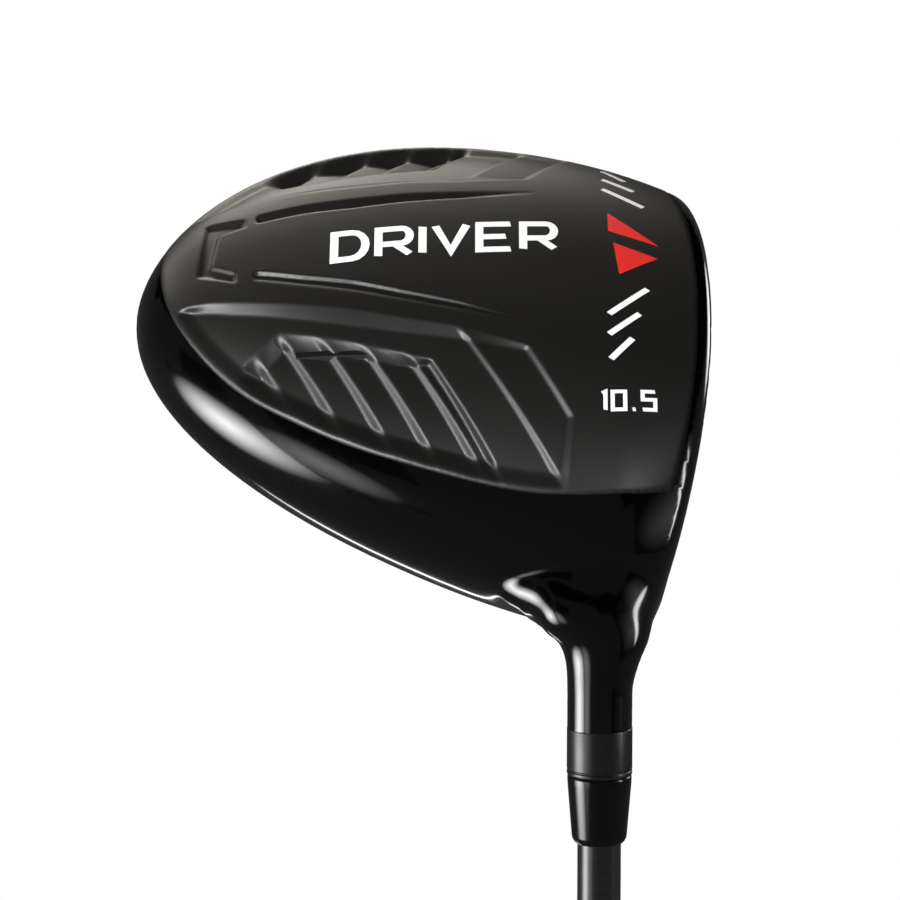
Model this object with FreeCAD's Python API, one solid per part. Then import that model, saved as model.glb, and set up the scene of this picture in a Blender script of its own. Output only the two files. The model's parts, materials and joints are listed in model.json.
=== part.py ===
"""Golf driver, right-handed, 460 cc class, bonded hosel: head, graphite shaft and rubber grip.

Part frame (mm): the origin is the middle of the grip's butt face, +Z runs up the shaft to the head.
Head frame (mm): the origin is where the shaft axis meets the ground, +X points at the target,
+Y at the toe and +Z down out of the sole. The head is drawn there, then turned by 90 - lie about X
and lifted by the club length, which puts the shaft axis on the part's Z axis.
"""
import FreeCAD, Part
import math
import os

V = FreeCAD.Vector

# ---- club
CLUB_LENGTH = 1155.7        # butt face to the ground along the shaft, 45.5 in
LIE = 58.5                  # shaft to ground, degrees
LOFT = 10.5                 # face to the vertical, degrees

# ---- head form (head frame)
MID_Y = 46.0                # widest section's middle, heel to toe
REAR_X = -96.2              # rearmost point
NOSE_X = 34.0               # forward end of the lofted form, before the face trims it
WAIST_REAR_Z = -17.0        # height of the widest line at the rear
WAIST_AXIS_Z = -31.0        # and beside the shaft axis
# half: largest half size; peak: its X; rear, front: fullness; pinch: how fast it falls ahead; root: blunt end
TOE = dict(half=61.8, peak=-20.7, rear=2.15, front=2.15, pinch=1.0, root=1.65)
HEEL = dict(half=65.0, peak=4.1, rear=1.5, front=1.6, pinch=2.93, root=2.05)
SOLE = dict(half=28.0, peak=-8.0, rear=2.1, front=2.1, pinch=1.0, root=2.5)
CROWN = dict(half=38.0, peak=6.9, rear=1.43, front=1.43, pinch=1.0, root=1.78)
SIDE_POWER = 2.33           # superellipse powers of a section
DEPTH_POWER = 2.18
SECTIONS = 15
SECTION_POINTS = 28

FACE_X = 21.2               # face centre
FACE_Z = -28.0
FACE_RADIUS = 300.0         # bulge and roll
FACE_THICK = 3.0
FACE_RIM = 3.0              # frame's width around the face plate

# ---- walls
SOLE_WALL = 2.6
BODY_WALL = 1.4
CROWN_LAP = 8.0             # the crown panel starts this far behind the face
SOLE_LAP = 2.6              # the sole panel starts this far behind the face

# ---- hosel, along the shaft axis from the ground
SHAFT_TIP_R = 4.45
FIT_GAP = 0.05
BOND_GAP = 0.20
HOSEL_R = 6.62
HOSEL_FOOT = 26.0
HOSEL_TOP = 64.6
SHAFT_SEAT = 39.0           # how deep the shaft's tip stands in the hosel
KNUCKLE_TOP = 52.0
RING_LENGTH = 10.0
RING_R = 6.7
FERRULE_LENGTH = 14.3
FERRULE_TIP_R = 5.45

# ---- shaft and grip, along Z from the butt
CAP_THICK = 3.2
CAP_RIM = 3.6               # the cap's rim stands proud, so its middle clears the shaft's open butt
CAP_RIM_R = 8.6
BUTT_R = 7.6
SHAFT_TAPER_END = 940.0
BUTT_BORE_R = 6.8
TIP_BORE_R = 2.9
GRIP_LENGTH = 268.0
GRIP_BUTT_R = 13.4
GRIP_MOUTH_R = 8.6
TAPE_THICK = 0.3
TAPE_END = 258.0
VENT_R = 1.5

# ---- sole relief and marks, as plan positions (X, Y) in the head frame
SLOT_DEPTH = 1.5
GROOVE_DEPTH = 0.6
MARK_DEPTH = 0.25
SEAM = [(30.0, 3.0), (18.0, -3.3), (5.0, -8.0), (-16.0, -8.6), (-41.0, -2.4), (-60.0, 5.8), (-76.0, 17.0),
        (-87.0, 33.0), (-91.0, 50.0), (-88.5, 65.0), (-76.0, 80.5), (-60.0, 91.5), (-41.0, 98.5),
        (-16.0, 100.8), (8.0, 97.5), (30.0, 86.0)]
RELIEF_MID_Y = 51.7         # the relief is the same on both sides of this line
HEEL_RIBS = [((-64.3, 20.3), (-53.8, 3.1)), ((-56.1, 19.4), (-43.8, -0.8)), ((-47.3, 17.4), (-34.7, -3.8)),
             ((-38.3, 16.1), (-26.2, -5.5)), ((-26.5, 22.7), (-11.5, -3.6)), ((-14.2, 22.8), (-5.3, 7.1))]
SHOULDER = [(-88.0, 36.6), (-80.2, 36.0), (-69.4, 34.0), (-50.3, 31.2), (-28.4, 27.2), (-14.2, 23.3), (-5.3, 6.6)]
CHANNEL = [(-70.7, 43.4), (-61.3, 41.1), (-50.4, 39.3), (-40.7, 36.8), (-28.3, 34.1), (-12.6, 29.4)]
BRACKET = [(-74.5, 61.0), (-80.6, 59.8), (-81.4, 45.7), (-75.0, 42.6)]
BARS = [((1.9, 92.0), (6.5, 87.2)), ((1.7, 85.5), (8.3, 81.7)), ((1.6, 80.0), (10.2, 74.3)),
        ((10.4, 44.4), (2.3, 35.1)), ((8.6, 36.3), (2.2, 29.1)), ((7.0, 28.7), (2.5, 22.2))]
BAR_WIDTH = 1.4
TEXT_TURN = 10.3            # the marks' base lines turn this far from +X, degrees
# strokes of plain letters and numerals in a box one wide and one high
GLYPHS = {
    "D": [[(0, 0), (0, 1), (0.62, 1), (1, 0.7), (1, 0.3), (0.62, 0), (0, 0)]],
    "R": [[(0, 0), (0, 1), (1, 1), (1, 0.45), (0, 0.45)], [(0.45, 0.45), (1, 0)]],
    "I": [[(0, 0), (0, 1)]],
    "V": [[(0, 1), (0.5, 0), (1, 1)]],
    "E": [[(1, 1), (0, 1), (0, 0), (1, 0)], [(0, 0.5), (0.85, 0.5)]],
    "1": [[(0.3, 0), (0.3, 1)]],
    "0": [[(0, 0), (0, 1), (1, 1), (1, 0), (0, 0)]],
    "5": [[(1, 1), (0, 1), (0, 0.55), (1, 0.55), (1, 0), (0, 0)]],
    ".": [[(0, 0), (0.25, 0)]]}
NARROW = {"I": 0.0, "1": 0.3, ".": 0.25}


def swell(x, curve, rear_x):
    """Share of the full half size that the form has reached at X, from 0 at the rear point to 1."""
    s = (x - rear_x) / (curve["peak"] - rear_x) - 1.0
    drop = abs(s) ** curve["rear"] if s < 0 else (s * curve["pinch"]) ** curve["front"]
    return max(1.0 - drop, 0.0) ** (1.0 / curve["root"])


def waist(x):
    """Height of the widest line of the section at X."""
    return WAIST_REAR_Z + (WAIST_AXIS_Z - WAIST_REAR_Z) * (x - REAR_X) / (0.0 - REAR_X)


def section(x, inset):
    """One closed outline of the head form, inset by a wall."""
    rear_x = REAR_X + inset
    half = {}
    for name, curve in (("toe", TOE), ("heel", HEEL), ("sole", SOLE), ("crown", CROWN)):
        half[name] = (curve["half"] - inset) * swell(x, curve, rear_x)
    points = []
    for i in range(SECTION_POINTS):
        a = 2.0 * math.pi * i / SECTION_POINTS
        c, s = math.cos(a), math.sin(a)
        side = half["toe"] if c > 0 else half["heel"]
        depth = half["sole"] if s > 0 else half["crown"]
        y = MID_Y + side * math.copysign(abs(c) ** (2.0 / SIDE_POWER), c)
        z = waist(x) + depth * math.copysign(abs(s) ** (2.0 / DEPTH_POWER), s)
        points.append(V(x, y, z))
    curve = Part.BSplineCurve()
    curve.interpolate(Points=points, Parameters=list(range(SECTION_POINTS + 1)), PeriodicFlag=True)
    return Part.Wire([curve.toShape()])


def form(inset=0.0):
    """The whole head form as one solid, before the face trims it."""
    rear_x = REAR_X + inset
    wires = []
    for i in range(SECTIONS):
        turn = 0.5 * math.pi * (0.035 + 0.965 * i / (SECTIONS - 1))
        x = rear_x + (NOSE_X - rear_x) * (1.0 - math.cos(turn))
        wires.append(section(x, inset))
    solid = Part.makeLoft(wires, True, False)
    if solid.Volume < 0:
        solid.reverse()
    return solid


def face_ball(back=0.0):
    """Sphere that gives the face its bulge and roll, or one that far behind it."""
    loft = math.radians(LOFT)
    normal = V(math.cos(loft), 0, -math.sin(loft))
    centre = V(FACE_X, MID_Y, FACE_Z) - normal * FACE_RADIUS
    return Part.makeSphere(FACE_RADIUS - back, centre)


def prism(points, low=-34.0, high=20.0):
    """Upright block over a plan outline."""
    wire = Part.makePolygon([V(x, y, low) for x, y in points + points[:1]])
    return Part.Face(wire).extrude(V(0, 0, high - low))


def seam_block():
    """Upright block over the sole panel's outline, which is one smooth curve."""
    curve = Part.BSplineCurve()
    curve.interpolate([V(x, y, -34.0) for x, y in SEAM])
    close = Part.makeLine(V(*SEAM[-1], -34.0), V(*SEAM[0], -34.0))
    return Part.Face(Part.Wire([curve.toShape(), close])).extrude(V(0, 0, 54.0))


def strip(path, width):
    """Upright blocks over a path of straight runs, as one shape."""
    blocks = []
    for (x0, y0), (x1, y1) in zip(path[:-1], path[1:]):
        length = math.hypot(x1 - x0, y1 - y0)
        nx, ny = -(y1 - y0) / length * width / 2.0, (x1 - x0) / length * width / 2.0
        blocks.append(prism([(x0 + nx, y0 + ny), (x0 - nx, y0 - ny), (x1 - nx, y1 - ny), (x1 + nx, y1 + ny)]))
    return blocks


def slot_between(rib_a, rib_b, land=1.6):
    """Plan outline of the pocket between two neighbouring ribs."""
    shift = land / 2.0
    (a0, a1), (b0, b1) = rib_a, rib_b
    return [(a0[0] + shift, a0[1]), (a1[0] + shift, a1[1]), (b1[0] - shift, b1[1]), (b0[0] - shift, b0[1])]


def mirrored(point):
    """The same plan place on the toe half of the sole."""
    x, y = point
    return (x, 2.0 * RELIEF_MID_Y - y)


def crown_side():
    """Everything on the crown's side of the widest line."""
    big = 200.0
    points = [V(-big, -big, waist(-big)), V(big, -big, waist(big)), V(big, -big, -big), V(-big, -big, -big)]
    return Part.Face(Part.makePolygon(points + points[:1])).extrude(V(0, 3.0 * big, 0))


def shaft_direction():
    """Unit vector from the ground up the shaft to the grip, in the head frame."""
    lie = math.radians(LIE)
    return V(0, -math.cos(lie), -math.sin(lie))


def rod(radius, start, end):
    """Solid cylinder on the shaft axis between two distances from the ground."""
    d = shaft_direction()
    return Part.makeCylinder(radius, end - start, d * start, d)


def tube(outer, inner, start, end):
    return rod(outer, start, end).cut(rod(inner, start - 1.0, end + 1.0))


def knuckle():
    """Flare that carries the hosel into the heel: circles lofted from the neck to inside the head."""
    d = shaft_direction()
    lean = V(0, math.sin(math.radians(LIE)), -math.cos(math.radians(LIE)))
    stations = [(KNUCKLE_TOP, 0.0, HOSEL_R + 0.05), (46.0, 0.6, 7.8), (40.0, 2.2, 9.6), (33.0, 4.6, 11.0),
                (26.0, 7.2, 11.2)]
    wires = []
    for along, lean_by, radius in stations:
        circle = Part.Circle(d * along + lean * lean_by, d, radius)
        wires.append(Part.Wire([circle.toShape()]))
    return Part.makeLoft(wires, True, False)


def revolved(profile):
    """Solid of revolution about Z from (radius, Z) points."""
    wire = Part.makePolygon([V(r, 0, z) for r, z in profile + profile[:1]])
    return Part.Face(wire).revolve(V(0, 0, 0), V(0, 0, 1), 360)


def to_part_frame(shape):
    """Turn a head-frame shape so that the shaft axis is the part's Z axis."""
    placed = shape.copy()
    placed.rotate(V(0, 0, 0), V(1, 0, 0), 90.0 - LIE)
    placed.translate(V(0, 0, CLUB_LENGTH))
    return placed


def marks_on(blocks, outer, floor):
    """Thin fills that follow the sole, one solid for each plan block."""
    skin = outer.cut(floor)
    return [solid for block in blocks for solid in block.common(skin).Solids]


def lettering(text, corner, height, width, gap, stroke):
    """A row of plain letters as one upright block, from its lower left corner."""
    turn = math.radians(TEXT_TURN)
    blocks = []
    pen = 0.0
    for char in text:
        for path in GLYPHS[char]:
            points = []
            for u, v in path:
                along, up = pen + u * width, v * height
                points.append((corner[0] + along * math.cos(turn), corner[1] + along * math.sin(turn) + up))
            blocks += strip(points, stroke)
        pen += width * NARROW.get(char, 1.0) + gap
    return blocks[0].multiFuse(blocks[1:])


def head_parts():
    """Every piece of the head, in the head frame."""
    outer = form().common(face_ball())
    skin_mark = form(MARK_DEPTH)
    skin_slot = form(SLOT_DEPTH)
    skin_groove = form(GROOVE_DEPTH)
    hollow_body = form(BODY_WALL).common(face_ball(FACE_THICK))
    hollow_sole = form(SOLE_WALL)
    hosel_room = rod(HOSEL_R, HOSEL_FOOT, HOSEL_TOP)
    parts = {}

    face = form(FACE_RIM).common(face_ball()).cut(face_ball(FACE_THICK))
    lines = []
    for row in range(9):
        z = FACE_Z + 16.0 - 4.0 * row
        for y0, y1 in ((MID_Y - 40.0, MID_Y - 16.0), (MID_Y + 16.0, MID_Y + 36.0)):
            lines.append(Part.makeBox(60.0, y1 - y0, 0.8, V(0, y0, z)))
    score = Part.makeCompound(lines).cut(face_ball(0.35))
    parts["face_plate"] = face.cut(score)

    seam = seam_block()
    behind_rim = face_ball(SOLE_LAP)
    sole = outer.cut(hollow_sole).common(seam).common(behind_rim)
    shell = outer.cut(hollow_body).cut(form(FACE_RIM).cut(face_ball(FACE_THICK)))
    sole_room = outer.common(seam).common(behind_rim)
    lower = crown_side()
    parts["crown_shell"] = shell.common(lower).common(face_ball(CROWN_LAP)).cut(hosel_room)
    frame = shell.cut(lower.common(face_ball(CROWN_LAP))).cut(sole_room).cut(hosel_room)
    parts["skirt_shell"] = frame

    slots = [slot_between(a, b) for a, b in zip(HEEL_RIBS[:-1], HEEL_RIBS[1:])]
    slots += [[mirrored(p) for p in slot] for slot in slots]
    grooves = [SHOULDER, CHANNEL, BRACKET] + [[mirrored(p) for p in path] for path in (SHOULDER, CHANNEL)]
    cutters = [prism(slot).cut(skin_slot) for slot in slots]
    cutters += [block.cut(skin_groove) for path in grooves for block in strip(path, 1.4)]
    sole = sole.cut(cutters)

    bars = [block for bar in BARS for block in strip(list(bar), BAR_WIDTH)]
    emblem = [prism([(2.5, 69.5), (13.0, 59.5), (2.5, 62.5)]), prism([(3.5, 58.5), (12.8, 55.0), (4.6, 48.0)])]
    word = [lettering("DRIVER", (-54.6, 45.6), 8.6, 6.6, 2.7, 1.7)]
    number = [lettering("10.5", (0.4, 8.8), 4.4, 2.6, 1.5, 0.8)]
    fills = {"white_bars": bars, "red_emblem": emblem, "club_word": word, "loft_number": number}
    for name, blocks in fills.items():
        fill = Part.makeCompound(marks_on(blocks, outer, skin_mark))
        parts[name] = fill
        sole = sole.cut(fill)
    parts["sole_panel"] = sole

    inner_sole = hollow_sole.common(face_ball(FACE_THICK + 0.4))
    for name, y in (("sole_rib_heel", 22.0), ("sole_rib_middle", 48.0), ("sole_rib_toe", 74.0)):
        wall = Part.makeBox(64.0, 1.2, 60.0, V(-62.0, y - 0.6, -20.0))
        parts[name] = wall.common(inner_sole).cut(form(SOLE_WALL + 5.0))
    parts["rear_weight"] = Part.makeCylinder(7.0, 30.0, V(-76.0, 48.0, -14.0)).common(inner_sole)
    parts["heel_weight"] = Part.makeCylinder(6.0, 30.0, V(4.0, 12.0, -13.5)).common(inner_sole)
    parts["hot_melt_pad"] = Part.makeCylinder(9.0, 40.0, V(-2.0, 84.0, -30.0)).common(inner_sole)
    parts["hot_melt_pad"] = parts["hot_melt_pad"].cut(form(SOLE_WALL + 1.6))

    parts["hosel_knuckle"] = knuckle().cut(outer).cut(rod(HOSEL_R, 0.0, 90.0))
    parts["hosel_tube"] = tube(HOSEL_R, SHAFT_TIP_R + BOND_GAP, HOSEL_FOOT, HOSEL_TOP).fuse(
        rod(HOSEL_R, HOSEL_FOOT, SHAFT_SEAT)).removeSplitter()
    return parts


def hosel_and_shaft():
    """Pieces that turn about the shaft axis, in the part frame."""
    parts = {}
    ring_foot = CLUB_LENGTH - HOSEL_TOP
    ring_end = ring_foot - RING_LENGTH
    ferrule_end = ring_end - FERRULE_LENGTH
    bore = SHAFT_TIP_R + FIT_GAP
    edge = 0.35
    parts["trim_ring"] = revolved([(bore, ring_foot), (RING_R - edge, ring_foot), (RING_R, ring_foot - edge),
                                   (RING_R, ring_end + edge), (RING_R - edge, ring_end), (bore, ring_end)])
    parts["ferrule"] = revolved([(bore, ring_end), (RING_R - 0.1, ring_end), (RING_R - 0.15, ring_end - 1.5),
                                 (FERRULE_TIP_R + 0.15, ferrule_end + 1.2), (FERRULE_TIP_R - 0.45, ferrule_end + 0.3),
                                 (FERRULE_TIP_R - 0.8, ferrule_end), (bore, ferrule_end)])
    tip = CLUB_LENGTH - SHAFT_SEAT
    parts["shaft"] = revolved([(BUTT_BORE_R, CAP_RIM), (BUTT_R, CAP_RIM), (SHAFT_TIP_R, SHAFT_TAPER_END),
                               (SHAFT_TIP_R, tip), (TIP_BORE_R, tip), (TIP_BORE_R, SHAFT_TAPER_END)])
    parts["shaft_bond"] = revolved([(SHAFT_TIP_R, ring_foot), (SHAFT_TIP_R + BOND_GAP, ring_foot),
                                    (SHAFT_TIP_R + BOND_GAP, tip), (SHAFT_TIP_R, tip)])
    parts["tip_weight"] = Part.makeCylinder(TIP_BORE_R, 14.0, V(0, 0, tip - 16.0))

    def shaft_r(z):
        return BUTT_R + (SHAFT_TIP_R - BUTT_R) * (z - CAP_RIM) / (SHAFT_TAPER_END - CAP_RIM)

    foot, mouth = CAP_RIM, GRIP_LENGTH
    parts["grip_tape"] = revolved([(shaft_r(foot), foot), (shaft_r(foot) + TAPE_THICK, foot),
                                   (shaft_r(TAPE_END) + TAPE_THICK, TAPE_END), (shaft_r(TAPE_END), TAPE_END)])
    parts["grip_sleeve"] = revolved([(shaft_r(foot) + TAPE_THICK, foot), (GRIP_BUTT_R, foot), (GRIP_BUTT_R, 9.0),
                                     (12.4, 20.0), (10.4, 140.0), (GRIP_MOUTH_R + 0.3, mouth - 3.0),
                                     (GRIP_MOUTH_R, mouth), (shaft_r(mouth) + TAPE_THICK, mouth)])
    parts["grip_cap"] = revolved([(VENT_R, 0.0), (GRIP_BUTT_R - 1.0, 0.0), (GRIP_BUTT_R, 1.0),
                                  (GRIP_BUTT_R, CAP_RIM), (CAP_RIM_R, CAP_RIM),
                                  (CAP_RIM_R, CAP_THICK), (VENT_R, CAP_THICK)])
    return parts


def main():
    os.makedirs("parts", exist_ok=True)
    parts = {name: to_part_frame(shape) for name, shape in head_parts().items()}
    parts.update(hosel_and_shaft())
    for name, shape in parts.items():
        shape.exportStep(f"parts/{name}.step")
        print(f"{name:16s} solids {len(shape.Solids):2d}  volume {shape.Volume / 1000.0:8.3f} cm3"
              f"  valid {shape.isValid()}")


main()
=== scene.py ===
"""Looks of a golf driver: painted head, ribbed matte sole, ring, ferrule, graphite shaft and rubber grip.

The head is worked out in millimetres in the head frame: X to the target, Y to the toe, Z out of the
sole, origin where the shaft axis meets the ground. place() puts it into the model's frame in metres.
"""
import json
import math

import bmesh
import bpy
import numpy as np
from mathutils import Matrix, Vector


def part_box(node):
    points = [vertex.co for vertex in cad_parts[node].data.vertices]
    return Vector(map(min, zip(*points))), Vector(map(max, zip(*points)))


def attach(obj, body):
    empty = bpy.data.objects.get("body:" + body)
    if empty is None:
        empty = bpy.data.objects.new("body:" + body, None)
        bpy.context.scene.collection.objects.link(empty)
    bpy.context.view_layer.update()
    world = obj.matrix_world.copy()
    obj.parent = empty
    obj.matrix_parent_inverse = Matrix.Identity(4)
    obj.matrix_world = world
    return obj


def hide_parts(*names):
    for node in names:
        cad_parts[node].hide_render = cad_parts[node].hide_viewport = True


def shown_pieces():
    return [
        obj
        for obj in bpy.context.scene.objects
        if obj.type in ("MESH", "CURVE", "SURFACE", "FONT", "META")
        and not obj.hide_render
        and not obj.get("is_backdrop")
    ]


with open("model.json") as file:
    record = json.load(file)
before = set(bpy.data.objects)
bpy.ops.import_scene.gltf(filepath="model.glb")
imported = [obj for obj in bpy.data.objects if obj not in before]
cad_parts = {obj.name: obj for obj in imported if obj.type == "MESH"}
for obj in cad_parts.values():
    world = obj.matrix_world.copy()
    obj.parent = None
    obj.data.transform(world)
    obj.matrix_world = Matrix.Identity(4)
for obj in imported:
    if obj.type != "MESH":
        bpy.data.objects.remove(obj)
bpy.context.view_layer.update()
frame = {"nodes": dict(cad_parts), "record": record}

bl_info = {
    "name": "Golf Driver Finish",
    "version": (1, 0, 0),
    "blender": (4, 5, 0),
    "location": "View3D > Sidebar > Driver",
    "description": "Builds the finished surfaces of a golf driver around its engineering model",
    "category": "Object",
}

# ---- sizes, and the ground level taken from the loaded frame
MM = 0.001
LIE = math.radians(58.5)
HOSEL_TOP = 64.6            # end face of the hosel, from the ground along the shaft axis
HOSEL_R = 6.62


def node_span(node):
    """Lowest and highest Z of a node in millimetres."""
    low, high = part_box(node)
    return low.z / MM, high.z / MM


GROUND_Z = node_span("hosel_tube")[0] + HOSEL_TOP

# ---- head form, as the engineering model has it
MID_Y = 46.0
REAR_X = -96.2
WAIST_REAR_Z = -17.0
WAIST_AXIS_Z = -31.0
TOE = dict(half=61.8, peak=-20.7, rear=2.15, front=2.15, pinch=1.0, root=1.65)
HEEL = dict(half=65.0, peak=4.1, rear=1.5, front=1.6, pinch=2.93, root=2.05)
SOLE = dict(half=28.0, peak=-8.0, rear=2.1, front=2.1, pinch=1.0, root=2.5)
CROWN = dict(half=38.0, peak=6.9, rear=1.43, front=1.43, pinch=1.0, root=1.78)
SIDE_POWER = 2.33
DEPTH_POWER = 2.18
FORM_POWER = 2.25           # near the mean of the two, so that the form's value grows about evenly
FACE_X, FACE_Z, FACE_RADIUS = 21.2, -28.0, 300.0
LOFT = math.radians(10.5)
EDGE_ROUND = 2.4            # rounding between the face and the body
SHAFT_UP = np.array([0.0, -math.cos(LIE), -math.sin(LIE)])
LEAN_IN = np.array([0.0, math.sin(LIE), -math.cos(LIE)])
FACE_NORMAL = np.array([math.cos(LOFT), 0.0, -math.sin(LOFT)])
FACE_CENTRE = np.array([FACE_X, MID_Y, FACE_Z]) - FACE_RADIUS * FACE_NORMAL
# the neck's oval sections: distance from the ground along the shaft axis, then the reach of the section to
# the rear and the front (X), toward the sole and away from it; above 56 mm it is the round hosel
NECK = [(8.0, -4.0, 4.0, -7.0, -15.0), (18.0, -6.0, 5.5, -3.5, -17.0), (24.0, -8.0, 7.6, 0.2, -18.0),
        (28.0, -10.0, 8.6, 1.8, -18.0), (32.0, -13.5, 9.6, 2.2, -18.0), (36.0, -17.5, 10.4, 3.6, -17.5),
        (38.0, -19.0, 10.5, 5.0, -16.8), (40.0, -18.5, 10.6, 6.0, -16.0), (43.0, -14.8, 10.9, 6.3, -13.5),
        (45.0, -11.5, 10.5, 6.4, -11.4), (47.0, -8.8, 9.9, 6.5, -9.6), (49.0, -7.6, 9.0, 6.55, -8.2),
        (52.0, -6.85, 7.8, 6.6, -7.0), (56.0, -6.64, 6.75, HOSEL_R, -HOSEL_R)]
NECK += [(along, -HOSEL_R, HOSEL_R, HOSEL_R, -HOSEL_R) for along in (60.0, 70.0)]
FILLET, FILLET_GROWTH, FILLET_FROM = 1.0, 3.4, 28.0     # between body and neck
FLARE_FROM, FLARE_TO = 25.0, 55.0   # the stretch of the neck along the shaft axis that is evened out
SKIN_DROP = 0.17            # the painted skin lies this far inside the form, so the sole panel stands proud
PANEL_DROP = 0.05           # the panel's own surface lies this far inside it

# ---- plan of the sole's relief (X, Y)
SEAM = [(30.0, 3.0), (18.0, -3.3), (5.0, -8.0), (-16.0, -8.6), (-41.0, -2.4), (-60.0, 5.8), (-76.0, 17.0),
        (-87.0, 33.0), (-91.0, 50.0), (-88.5, 65.0), (-76.0, 80.5), (-60.0, 91.5), (-41.0, 98.5),
        (-16.0, 100.8), (8.0, 97.5), (30.0, 86.0)]
PANEL_FRONT = 3.2           # the panel stops this far behind the face
RELIEF_MID_Y = 51.7         # the relief is the same on both sides of this line
SHOULDER = [(-99.0, 37.2), (-88.6, 36.6), (-80.2, 36.0), (-69.4, 34.0), (-50.3, 31.2), (-40.6, 29.0),
            (-28.4, 27.2), (-14.2, 23.3), (-5.3, 6.6), (-6.7, -8.4), (-6.7, -26.0), (-99.0, -26.0)]
LEDGE = [(-99.0, 36.4), (-87.7, 35.9), (-75.5, 31.4), (-64.0, 28.8), (-50.2, 26.1),
         (-40.6, 24.6), (-26.9, 23.4),
         (-15.3, 21.9), (-6.5, 6.2), (-8.4, -8.4), (-8.4, -26.0), (-99.0, -26.0)]
POCKET_RIM = [(-90.0, 3.0), (-75.3, 17.0), (-65.8, 25.7), (-51.8, 22.6), (-37.9, 19.0), (-34.1, 17.9),
              (-19.8, -6.7), (-12.0, -20.0), (-90.0, -20.0)]
POCKET_FLOOR = [(-86.0, -0.5), (-71.2, 13.4), (-64.3, 21.0), (-51.8, 18.5), (-38.8, 16.1), (-35.2, 16.4),
                (-21.2, -6.7), (-14.0, -19.0), (-86.0, -19.0)]
CHANNEL_TOP = [(-70.7, 43.4), (-61.3, 41.1), (-50.4, 39.3), (-40.7, 36.8), (-28.3, 34.1), (-19.7, 31.7),
               (-12.6, 29.4)]
CHANNEL_FOOT = [(-71.0, 40.6), (-61.6, 38.2), (-50.7, 36.1), (-40.9, 33.9), (-28.6, 31.8), (-19.9, 30.3),
                (-12.8, 28.8)]
BRACKET_OUT = [(-73.8, 61.8), (-81.9, 62.4), (-83.0, 44.2), (-74.9, 40.5)]
BRACKET_IN = [(-73.4, 59.0), (-78.8, 57.3), (-80.0, 46.9), (-75.0, 43.9)]
RIB_SLANT = 0.61            # how far a rib runs forward for each millimetre toward the heel
RIBS = [-59.2, -51.9, -44.25, -36.7, -28.7]     # X of the pocket's ribs where they would meet Y = 0
RIB_END = -23.6             # X of the pocket's front wall there
STEP_LOW = -13.2            # X of the two steps ahead of the pocket
RIB_FACE = 1.9              # plan width of a rib's narrow face
LEDGE_DEPTH = 1.8           # depths below the form
CREST_DEPTH = 3.1
FLOOR_DEPTH = 4.6
RELIEF_LEAN = 0.75          # how far the relief's sides lean outward at most, as a sine
FAR = -99.0                 # stands for places nowhere near an outline
NEAR = 0.62                 # how near an outline a vertex goes onto it, in face sizes
TUCK = 2.0                  # the skin under the panel and the plate is open this far inside their edges


# ---- the form
def swell(x, curve):
    """Share of the full half size that the form has reached at X."""
    s = (x - REAR_X) / (curve["peak"] - REAR_X) - 1.0
    drop = np.where(s < 0, np.abs(s) ** curve["rear"], np.abs(s * curve["pinch"]) ** curve["front"])
    return np.clip(1.0 - drop, 0.0, None) ** (1.0 / curve["root"])


def waist(x):
    """Z of the form's widest level at X."""
    return WAIST_REAR_Z + (WAIST_AXIS_Z - WAIST_REAR_Z) * (x - REAR_X) / (0.0 - REAR_X)


def form_value(p):
    """Below 0 inside the lofted form and above 0 outside."""
    x, y, z = p[..., 0], p[..., 1], p[..., 2]
    middle = waist(x)
    toe, heel, sole, crown = (curve["half"] * np.maximum(swell(x, curve), 0.02)
                              for curve in (TOE, HEEL, SOLE, CROWN))
    side = np.abs((y - MID_Y) / np.where(y > MID_Y, toe, heel))
    deep = np.abs((z - middle) / np.where(z > middle, sole, crown))
    value = (side ** SIDE_POWER + deep ** DEPTH_POWER) ** (1.0 / FORM_POWER) - 1.0
    return np.where(x < REAR_X, value + (REAR_X - x) * 0.1, value)


def gradient(field, p, step=0.05):
    """Slope of a field in all three directions, from its values a small step apart."""
    out = np.zeros(p.shape)
    for axis in range(3):
        shift = np.zeros(3)
        shift[axis] = step
        out[..., axis] = (field(p + shift) - field(p - shift)) / (2.0 * step)
    return out


def form_distance(p):
    """Roughly how far outside the lofted form a point is, in millimetres."""
    steep = np.linalg.norm(gradient(form_value, p), axis=-1)
    return form_value(p) / np.maximum(steep, 1.0 / 80.0)


def face_distance(p):
    return np.linalg.norm(p - FACE_CENTRE, axis=-1) - FACE_RADIUS


def round_and(a, b, r):
    """Overlap of two solids with its edge rounded."""
    return np.minimum(-r, np.maximum(a, b)) + np.hypot(np.maximum(a + r, 0.0), np.maximum(b + r, 0.0))


def round_or(a, b, r):
    """Union of two solids with a fillet between them."""
    return np.maximum(r, np.minimum(a, b)) - np.hypot(np.maximum(r - a, 0.0), np.maximum(r - b, 0.0))


def neck_value(p):
    """Below 0 inside the neck, whose oval sections change along the shaft axis."""
    along, x, out = p @ SHAFT_UP, p[..., 0], -(p @ LEAN_IN)
    rear, front, top, low = (np.interp(along, NECK_PATH[:, 0], NECK_PATH[:, i]) for i in (1, 2, 3, 4))
    across = (x - 0.5 * (rear + front)) / (0.5 * (front - rear))
    return np.hypot(across, (out - 0.5 * (top + low)) / (0.5 * (top - low))) - 1.0


def neck_distance(p):
    along = p @ SHAFT_UP
    steep = np.linalg.norm(gradient(neck_value, p), axis=-1)
    side = neck_value(p) / np.maximum(steep, 1.0 / 20.0)
    return np.maximum(side, np.maximum(along - HOSEL_TOP - 1.4, 12.0 - along))


def body_distance(p):
    return round_and(form_distance(p), face_distance(p), EDGE_ROUND)


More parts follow.
